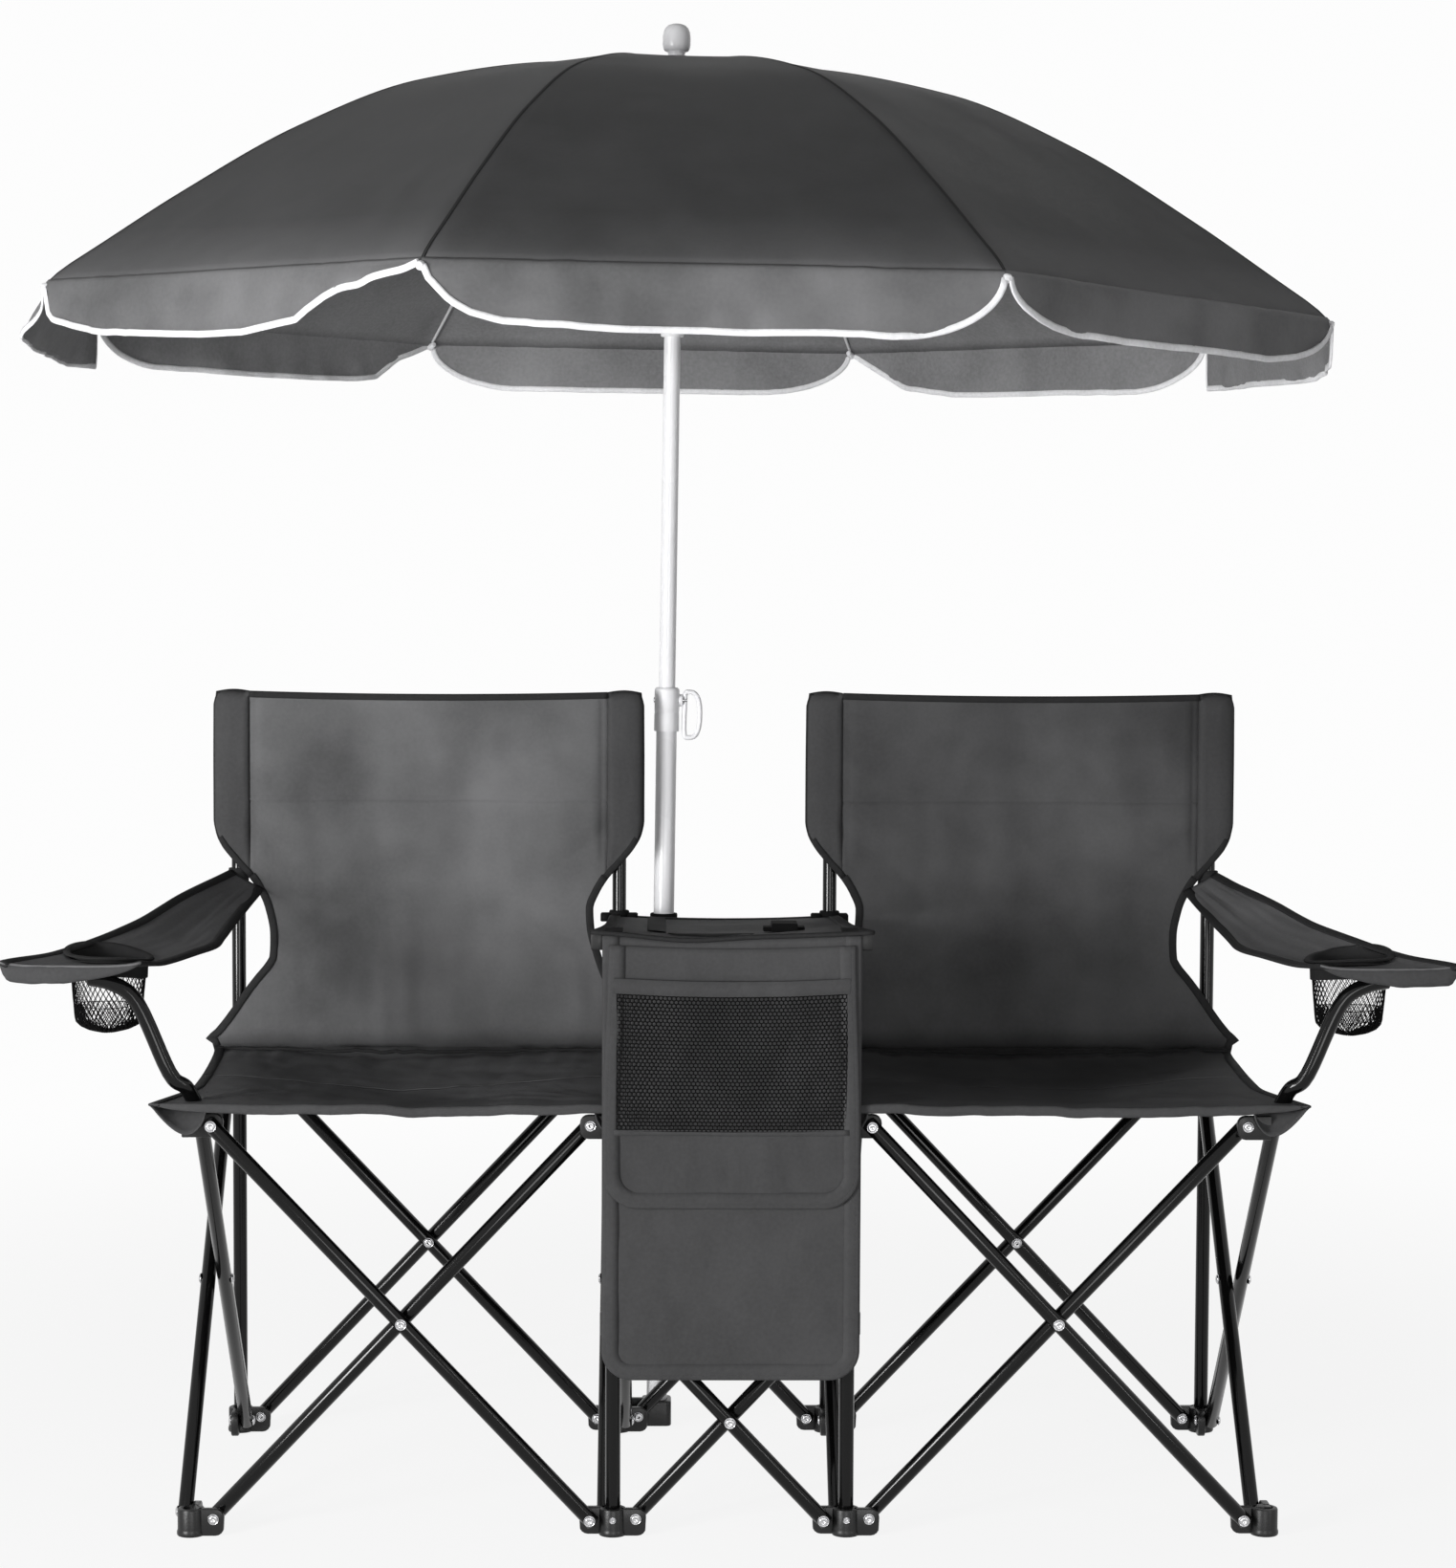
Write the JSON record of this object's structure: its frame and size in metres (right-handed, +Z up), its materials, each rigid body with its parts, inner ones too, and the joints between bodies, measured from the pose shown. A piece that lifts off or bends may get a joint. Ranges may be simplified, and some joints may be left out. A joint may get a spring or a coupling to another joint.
{
  "type": "double folding camping chair",
  "caption": "Two-seat folding camping chair with scissor frame, cup-holder armrests, a cooler table between the seats and a removable umbrella.",
  "frame": {"origin": "centre of the bounding box in plan, on the ground under the feet", "axes": "+Z up and the longest extent, +X to the right as seen from the front across both seats, +Y to the rear and the shortest extent"},
  "size_m": [1.5166, 1.4034, 1.6333],
  "materials": {
    "frame_tube": "gloss black powder coat",
    "frame_plastic": "black moulded plastic",
    "seat_cloth": "charcoal woven polyester",
    "table_cloth": "charcoal woven polyester",
    "cooler_cloth": "charcoal woven polyester, lined and padded",
    "canopy_cloth": "charcoal woven polyester, white edge binding",
    "umbrella_pole": "white paint",
    "umbrella_plastic": "white moulded plastic",
    "umbrella_rib": "white paint"
  },
  "bodies": {
    "rear_inner_left_corner": {"rear_inner_left_foot": "frame_plastic", "inner_left_back_pole": "frame_tube", "umbrella_socket": "frame_plastic", "left_seat_sling": "seat_cloth", "table_top": "table_cloth"},
    "rear_left_falling_tube": {"rear_left_falling_tube": "frame_tube"},
    "rear_left_rising_tube": {"rear_left_rising_tube": "frame_tube"},
    "rear_outer_left_corner": {"rear_outer_left_foot": "frame_plastic", "outer_left_back_pole": "frame_tube", "left_armrest": "seat_cloth"},
    "rear_inner_left_bracket": {"rear_inner_left_bracket": "frame_plastic"},
    "rear_outer_left_bracket": {"rear_outer_left_bracket": "frame_plastic"},
    "rear_middle_rising_tube": {"rear_middle_rising_tube": "frame_tube"},
    "rear_middle_falling_tube": {"rear_middle_falling_tube": "frame_tube"},
    "rear_inner_right_corner": {"rear_inner_right_foot": "frame_plastic", "inner_right_back_pole": "frame_tube", "right_seat_sling": "seat_cloth"},
    "rear_inner_right_slider": {"rear_inner_right_slider": "frame_plastic"},
    "rear_inner_left_slider": {"rear_inner_left_slider": "frame_plastic"},
    "rear_right_rising_tube": {"rear_right_rising_tube": "frame_tube"},
    "rear_right_falling_tube": {"rear_right_falling_tube": "frame_tube"},
    "rear_outer_right_corner": {"rear_outer_right_foot": "frame_plastic", "outer_right_back_pole": "frame_tube", "right_armrest": "seat_cloth"},
    "rear_outer_right_bracket": {"rear_outer_right_bracket": "frame_plastic"},
    "rear_inner_right_bracket": {"rear_inner_right_bracket": "frame_plastic"},
    "outer_left_side_forward_tube": {"outer_left_side_forward_tube": "frame_tube"},
    "outer_left_side_backward_tube": {"outer_left_side_backward_tube": "frame_tube"},
    "front_outer_left_corner": {"front_outer_left_foot": "frame_plastic"},
    "front_outer_left_bracket": {"front_outer_left_bracket": "frame_plastic"},
    "inner_left_side_forward_tube": {"inner_left_side_forward_tube": "frame_tube"},
    "inner_left_side_backward_tube": {"inner_left_side_backward_tube": "frame_tube"},
    "front_inner_left_corner": {"front_inner_left_foot": "frame_plastic", "inner_left_table_leg": "frame_tube", "cooler_bag": "cooler_cloth"},
    "front_inner_left_bracket": {"front_inner_left_bracket": "frame_plastic"},
    "inner_right_side_forward_tube": {"inner_right_side_forward_tube": "frame_tube"},
    "inner_right_side_backward_tube": {"inner_right_side_backward_tube": "frame_tube"},
    "front_inner_right_corner": {"front_inner_right_foot": "frame_plastic", "inner_right_table_leg": "frame_tube"},
    "front_inner_right_bracket": {"front_inner_right_bracket": "frame_plastic"},
    "outer_right_side_forward_tube": {"outer_right_side_forward_tube": "frame_tube"},
    "outer_right_side_backward_tube": {"outer_right_side_backward_tube": "frame_tube"},
    "front_outer_right_corner": {"front_outer_right_foot": "frame_plastic"},
    "front_outer_right_bracket": {"front_outer_right_bracket": "frame_plastic"},
    "front_left_falling_tube": {"front_left_falling_tube": "frame_tube"},
    "front_left_rising_tube": {"front_left_rising_tube": "frame_tube"},
    "front_middle_falling_tube": {"front_middle_falling_tube": "frame_tube"},
    "front_middle_rising_tube": {"front_middle_rising_tube": "frame_tube"},
    "front_inner_right_slider": {"front_inner_right_slider": "frame_plastic"},
    "front_inner_left_slider": {"front_inner_left_slider": "frame_plastic"},
    "front_right_falling_tube": {"front_right_falling_tube": "frame_tube"},
    "front_right_rising_tube": {"front_right_rising_tube": "frame_tube"},
    "umbrella_base_pole": {"umbrella_lower_pole": "umbrella_pole", "umbrella_clamp": "umbrella_plastic"},
    "umbrella_top": {"umbrella_upper_pole": "umbrella_pole", "umbrella_ribs": "umbrella_rib", "umbrella_canopy": "canopy_cloth"},
    "clamp_screw": {"clamp_screw": "umbrella_plastic"},
    "cooler_flap": {"cooler_flap": "cooler_cloth"}
  },
  "joints": [
    {"name": "fold", "type": "hinge", "parent": "rear_inner_left_corner", "child": "rear_left_falling_tube", "pos_m": [-0.13977, -0.036, 0.018], "axis": [0, 1, 0], "range_deg": [0, 35.5], "deforming": ["left_seat_sling", "right_seat_sling", "left_armrest", "right_armrest", "table_top", "cooler_bag", "cooler_flap"]},
    {"name": "rear_left_crossing", "type": "hinge", "parent": "rear_left_falling_tube", "child": "rear_left_rising_tube", "pos_m": [-0.33577, -0.036, 0.225], "axis": [0, 1, 0], "range_deg": [-71.5, 0.5]},
    {"name": "rear_outer_left_foot_pivot", "type": "hinge", "parent": "rear_left_rising_tube", "child": "rear_outer_left_corner", "pos_m": [-0.53177, -0.036, 0.018], "axis": [0, 1, 0], "range_deg": [-0.5, 36]},
    {"name": "rear_inner_left_bracket_pivot", "type": "hinge", "parent": "rear_left_rising_tube", "child": "rear_inner_left_bracket", "pos_m": [-0.13977, -0.036, 0.432], "axis": [0, 1, 0], "range_deg": [-0.5, 36]},
    {"name": "rear_outer_left_bracket_pivot", "type": "hinge", "parent": "rear_left_falling_tube", "child": "rear_outer_left_bracket", "pos_m": [-0.53177, -0.036, 0.432], "axis": [0, 1, 0], "range_deg": [-36, 0.5]},
    {"name": "rear_middle_foot_pivot", "type": "hinge", "parent": "rear_inner_left_corner", "child": "rear_middle_rising_tube", "pos_m": [-0.09177, -0.036, 0.018], "axis": [0, 1, 0], "range_deg": [-36, 0.5]},
    {"name": "rear_middle_crossing", "type": "hinge", "parent": "rear_middle_rising_tube", "child": "rear_middle_falling_tube", "pos_m": [0.00623, -0.036, 0.1215], "axis": [0, 1, 0], "range_deg": [-0.5, 71.5]},
    {"name": "rear_inner_right_foot_pivot", "type": "hinge", "parent": "rear_middle_falling_tube", "child": "rear_inner_right_corner", "pos_m": [0.10423, -0.036, 0.018], "axis": [0, 1, 0], "range_deg": [-36, 0.5]},
    {"name": "rear_inner_right_slider_pivot", "type": "hinge", "parent": "rear_middle_rising_tube", "child": "rear_inner_right_slider", "pos_m": [0.10423, -0.036, 0.225], "axis": [0, 1, 0], "range_deg": [-0.5, 36]},
    {"name": "rear_inner_left_slider_pivot", "type": "hinge", "parent": "rear_middle_falling_tube", "child": "rear_inner_left_slider", "pos_m": [-0.09177, -0.036, 0.225], "axis": [0, 1, 0], "range_deg": [-36, 0.5]},
    {"name": "rear_right_foot_pivot", "type": "hinge", "parent": "rear_inner_right_corner", "child": "rear_right_rising_tube", "pos_m": [0.15223, -0.036, 0.018], "axis": [0, 1, 0], "range_deg": [-36, 0.5]},
    {"name": "rear_right_crossing", "type": "hinge", "parent": "rear_right_rising_tube", "child": "rear_right_falling_tube", "pos_m": [0.34823, -0.036, 0.225], "axis": [0, 1, 0], "range_deg": [-0.5, 71.5]},
    {"name": "rear_outer_right_foot_pivot", "type": "hinge", "parent": "rear_right_falling_tube", "child": "rear_outer_right_corner", "pos_m": [0.54423, -0.036, 0.018], "axis": [0, 1, 0], "range_deg": [-36, 0.5]},
    {"name": "rear_outer_right_bracket_pivot", "type": "hinge", "parent": "rear_right_rising_tube", "child": "rear_outer_right_bracket", "pos_m": [0.54423, -0.036, 0.432], "axis": [0, 1, 0], "range_deg": [-0.5, 36]},
    {"name": "rear_inner_right_bracket_pivot", "type": "hinge", "parent": "rear_right_falling_tube", "child": "rear_inner_right_bracket", "pos_m": [0.15223, -0.036, 0.432], "axis": [0, 1, 0], "range_deg": [-36, 0.5]},
    {"name": "outer_left_side_foot_pivot", "type": "hinge", "parent": "rear_outer_left_corner", "child": "outer_left_side_forward_tube", "pos_m": [-0.55577, -0.06, 0.018], "axis": [1, 0, 0], "range_deg": [-36, 0.5]},
    {"name": "outer_left_side_crossing", "type": "hinge", "parent": "outer_left_side_forward_tube", "child": "outer_left_side_backward_tube", "pos_m": [-0.55577, -0.256, 0.225], "axis": [1, 0, 0], "range_deg": [-0.5, 71.5]},
    {"name": "front_outer_left_foot_pivot", "type": "hinge", "parent": "outer_left_side_backward_tube", "child": "front_outer_left_corner", "pos_m": [-0.55577, -0.452, 0.018], "axis": [1, 0, 0], "range_deg": [-36, 0.5]},
    {"name": "front_outer_left_bracket_pivot", "type": "hinge", "parent": "outer_left_side_forward_tube", "child": "front_outer_left_bracket", "pos_m": [-0.55577, -0.452, 0.432], "axis": [1, 0, 0], "range_deg": [-0.5, 36]},
    {"name": "inner_left_side_foot_pivot", "type": "hinge", "parent": "rear_inner_left_corner", "child": "inner_left_side_forward_tube", "pos_m": [-0.11577, -0.06, 0.018], "axis": [1, 0, 0], "range_deg": [-36, 0.5]},
    {"name": "inner_left_side_crossing", "type": "hinge", "parent": "inner_left_side_forward_tube", "child": "inner_left_side_backward_tube", "pos_m": [-0.11577, -0.256, 0.225], "axis": [1, 0, 0], "range_deg": [-0.5, 71.5]},
    {"name": "front_inner_left_foot_pivot", "type": "hinge", "parent": "inner_left_side_backward_tube", "child": "front_inner_left_corner", "pos_m": [-0.11577, -0.452, 0.018], "axis": [1, 0, 0], "range_deg": [-36, 0.5]},
    {"name": "front_inner_left_bracket_pivot", "type": "hinge", "parent": "inner_left_side_forward_tube", "child": "front_inner_left_bracket", "pos_m": [-0.11577, -0.452, 0.432], "axis": [1, 0, 0], "range_deg": [-0.5, 36]},
    {"name": "inner_right_side_foot_pivot", "type": "hinge", "parent": "rear_inner_right_corner", "child": "inner_right_side_forward_tube", "pos_m": [0.12823, -0.06, 0.018], "axis": [1, 0, 0], "range_deg": [-36, 0.5]},
    {"name": "inner_right_side_crossing", "type": "hinge", "parent": "inner_right_side_forward_tube", "child": "inner_right_side_backward_tube", "pos_m": [0.12823, -0.256, 0.225], "axis": [1, 0, 0], "range_deg": [-0.5, 71.5]},
    {"name": "front_inner_right_foot_pivot", "type": "hinge", "parent": "inner_right_side_backward_tube", "child": "front_inner_right_corner", "pos_m": [0.12823, -0.452, 0.018], "axis": [1, 0, 0], "range_deg": [-36, 0.5]},
    {"name": "front_inner_right_bracket_pivot", "type": "hinge", "parent": "inner_right_side_forward_tube", "child": "front_inner_right_bracket", "pos_m": [0.12823, -0.452, 0.432], "axis": [1, 0, 0], "range_deg": [-0.5, 36]},
    {"name": "outer_right_side_foot_pivot", "type": "hinge", "parent": "rear_outer_right_corner", "child": "outer_right_side_forward_tube", "pos_m": [0.56823, -0.06, 0.018], "axis": [1, 0, 0], "range_deg": [-36, 0.5]},
    {"name": "outer_right_side_crossing", "type": "hinge", "parent": "outer_right_side_forward_tube", "child": "outer_right_side_backward_tube", "pos_m": [0.56823, -0.256, 0.225], "axis": [1, 0, 0], "range_deg": [-0.5, 71.5]},
    {"name": "front_outer_right_foot_pivot", "type": "hinge", "parent": "outer_right_side_backward_tube", "child": "front_outer_right_corner", "pos_m": [0.56823, -0.452, 0.018], "axis": [1, 0, 0], "range_deg": [-36, 0.5]},
    {"name": "front_outer_right_bracket_pivot", "type": "hinge", "parent": "outer_right_side_forward_tube", "child": "front_outer_right_bracket", "pos_m": [0.56823, -0.452, 0.432], "axis": [1, 0, 0], "range_deg": [-0.5, 36]},
    {"name": "front_left_falling_pivot", "type": "hinge", "parent": "front_inner_left_corner", "child": "front_left_falling_tube", "pos_m": [-0.13977, -0.476, 0.018], "axis": [0, 1, 0], "range_deg": [-0.5, 36]},
    {"name": "front_left_rising_pivot", "type": "hinge", "parent": "front_outer_left_corner", "child": "front_left_rising_tube", "pos_m": [-0.53177, -0.476, 0.018], "axis": [0, 1, 0], "range_deg": [-36, 0.5]},
    {"name": "front_middle_falling_pivot", "type": "hinge", "parent": "front_inner_right_corner", "child": "front_middle_falling_tube", "pos_m": [0.10423, -0.476, 0.018], "axis": [0, 1, 0], "range_deg": [-0.5, 36]},
    {"name": "front_middle_rising_pivot", "type": "hinge", "parent": "front_inner_left_corner", "child": "front_middle_rising_tube", "pos_m": [-0.09177, -0.476, 0.018], "axis": [0, 1, 0], "range_deg": [-36, 0.5]},
    {"name": "front_inner_right_slider_pivot", "type": "hinge", "parent": "front_middle_rising_tube", "child": "front_inner_right_slider", "pos_m": [0.10423, -0.476, 0.225], "axis": [0, 1, 0], "range_deg": [-0.5, 36]},
    {"name": "front_inner_left_slider_pivot", "type": "hinge", "parent": "front_middle_falling_tube", "child": "front_inner_left_slider", "pos_m": [-0.09177, -0.476, 0.225], "axis": [0, 1, 0], "range_deg": [-36, 0.5]},
    {"name": "front_right_falling_pivot", "type": "hinge", "parent": "front_outer_right_corner", "child": "front_right_falling_tube", "pos_m": [0.54423, -0.476, 0.018], "axis": [0, 1, 0], "range_deg": [-0.5, 36]},
    {"name": "front_right_rising_pivot", "type": "hinge", "parent": "front_inner_right_corner", "child": "front_right_rising_tube", "pos_m": [0.15223, -0.476, 0.018], "axis": [0, 1, 0], "range_deg": [-36, 0.5]},
    {"name": "umbrella_lift_out", "type": "slide", "parent": "rear_inner_left_corner", "child": "umbrella_base_pole", "axis": [0.0112, 0, 0.9999], "range_m": [0, 0.65]},
    {"name": "umbrella_height", "type": "slide", "parent": "umbrella_base_pole", "child": "umbrella_top", "axis": [0.0112, 0, 0.9999], "range_m": [-0.3, 0.1]},
    {"name": "clamp_screw_turn", "type": "hinge", "parent": "umbrella_base_pole", "child": "clamp_screw", "pos_m": [-0.04123, 0, 0.85387], "axis": [0.9999, 0, -0.0112], "continuous": true},
    {"name": "cooler_flap_lift", "type": "hinge", "parent": "front_inner_left_corner", "child": "cooler_flap", "pos_m": [0.00623, -0.5032, 0.62845], "axis": [-1, 0, 0], "range_deg": [0, 85]}
  ],
  "couplings": [
    {"joint": "rear_left_crossing", "follows": "fold", "ratio": -2},
    {"joint": "rear_outer_left_foot_pivot", "follows": "fold", "ratio": 1},
    {"joint": "rear_inner_left_bracket_pivot", "follows": "fold", "ratio": 1},
    {"joint": "rear_outer_left_bracket_pivot", "follows": "fold", "ratio": -1},
    {"joint": "rear_middle_foot_pivot", "follows": "fold", "ratio": -1},
    {"joint": "rear_middle_crossing", "follows": "fold", "ratio": 2},
    {"joint": "rear_inner_right_foot_pivot", "follows": "fold", "ratio": -1},
    {"joint": "rear_inner_right_slider_pivot", "follows": "fold", "ratio": 1},
    {"joint": "rear_inner_left_slider_pivot", "follows": "fold", "ratio": -1},
    {"joint": "rear_right_foot_pivot", "follows": "fold", "ratio": -1},
    {"joint": "rear_right_crossing", "follows": "fold", "ratio": 2},
    {"joint": "rear_outer_right_foot_pivot", "follows": "fold", "ratio": -1},
    {"joint": "rear_outer_right_bracket_pivot", "follows": "fold", "ratio": 1},
    {"joint": "rear_inner_right_bracket_pivot", "follows": "fold", "ratio": -1},
    {"joint": "outer_left_side_foot_pivot", "follows": "fold", "ratio": -1},
    {"joint": "outer_left_side_crossing", "follows": "fold", "ratio": 2},
    {"joint": "front_outer_left_foot_pivot", "follows": "fold", "ratio": -1},
    {"joint": "front_outer_left_bracket_pivot", "follows": "fold", "ratio": 1},
    {"joint": "inner_left_side_foot_pivot", "follows": "fold", "ratio": -1},
    {"joint": "inner_left_side_crossing", "follows": "fold", "ratio": 2},
    {"joint": "front_inner_left_foot_pivot", "follows": "fold", "ratio": -1},
    {"joint": "front_inner_left_bracket_pivot", "follows": "fold", "ratio": 1},
    {"joint": "inner_right_side_foot_pivot", "follows": "fold", "ratio": -1},
    {"joint": "inner_right_side_crossing", "follows": "fold", "ratio": 2},
    {"joint": "front_inner_right_foot_pivot", "follows": "fold", "ratio": -1},
    {"joint": "front_inner_right_bracket_pivot", "follows": "fold", "ratio": 1},
    {"joint": "outer_right_side_foot_pivot", "follows": "fold", "ratio": -1},
    {"joint": "outer_right_side_crossing", "follows": "fold", "ratio": 2},
    {"joint": "front_outer_right_foot_pivot", "follows": "fold", "ratio": -1},
    {"joint": "front_outer_right_bracket_pivot", "follows": "fold", "ratio": 1},
    {"joint": "front_left_falling_pivot", "follows": "fold", "ratio": 1},
    {"joint": "front_left_rising_pivot", "follows": "fold", "ratio": -1},
    {"joint": "front_middle_falling_pivot", "follows": "fold", "ratio": 1},
    {"joint": "front_middle_rising_pivot", "follows": "fold", "ratio": -1},
    {"joint": "front_inner_right_slider_pivot", "follows": "fold", "ratio": 1},
    {"joint": "front_inner_left_slider_pivot", "follows": "fold", "ratio": -1},
    {"joint": "front_right_falling_pivot", "follows": "fold", "ratio": 1},
    {"joint": "front_right_rising_pivot", "follows": "fold", "ratio": -1}
  ]
}
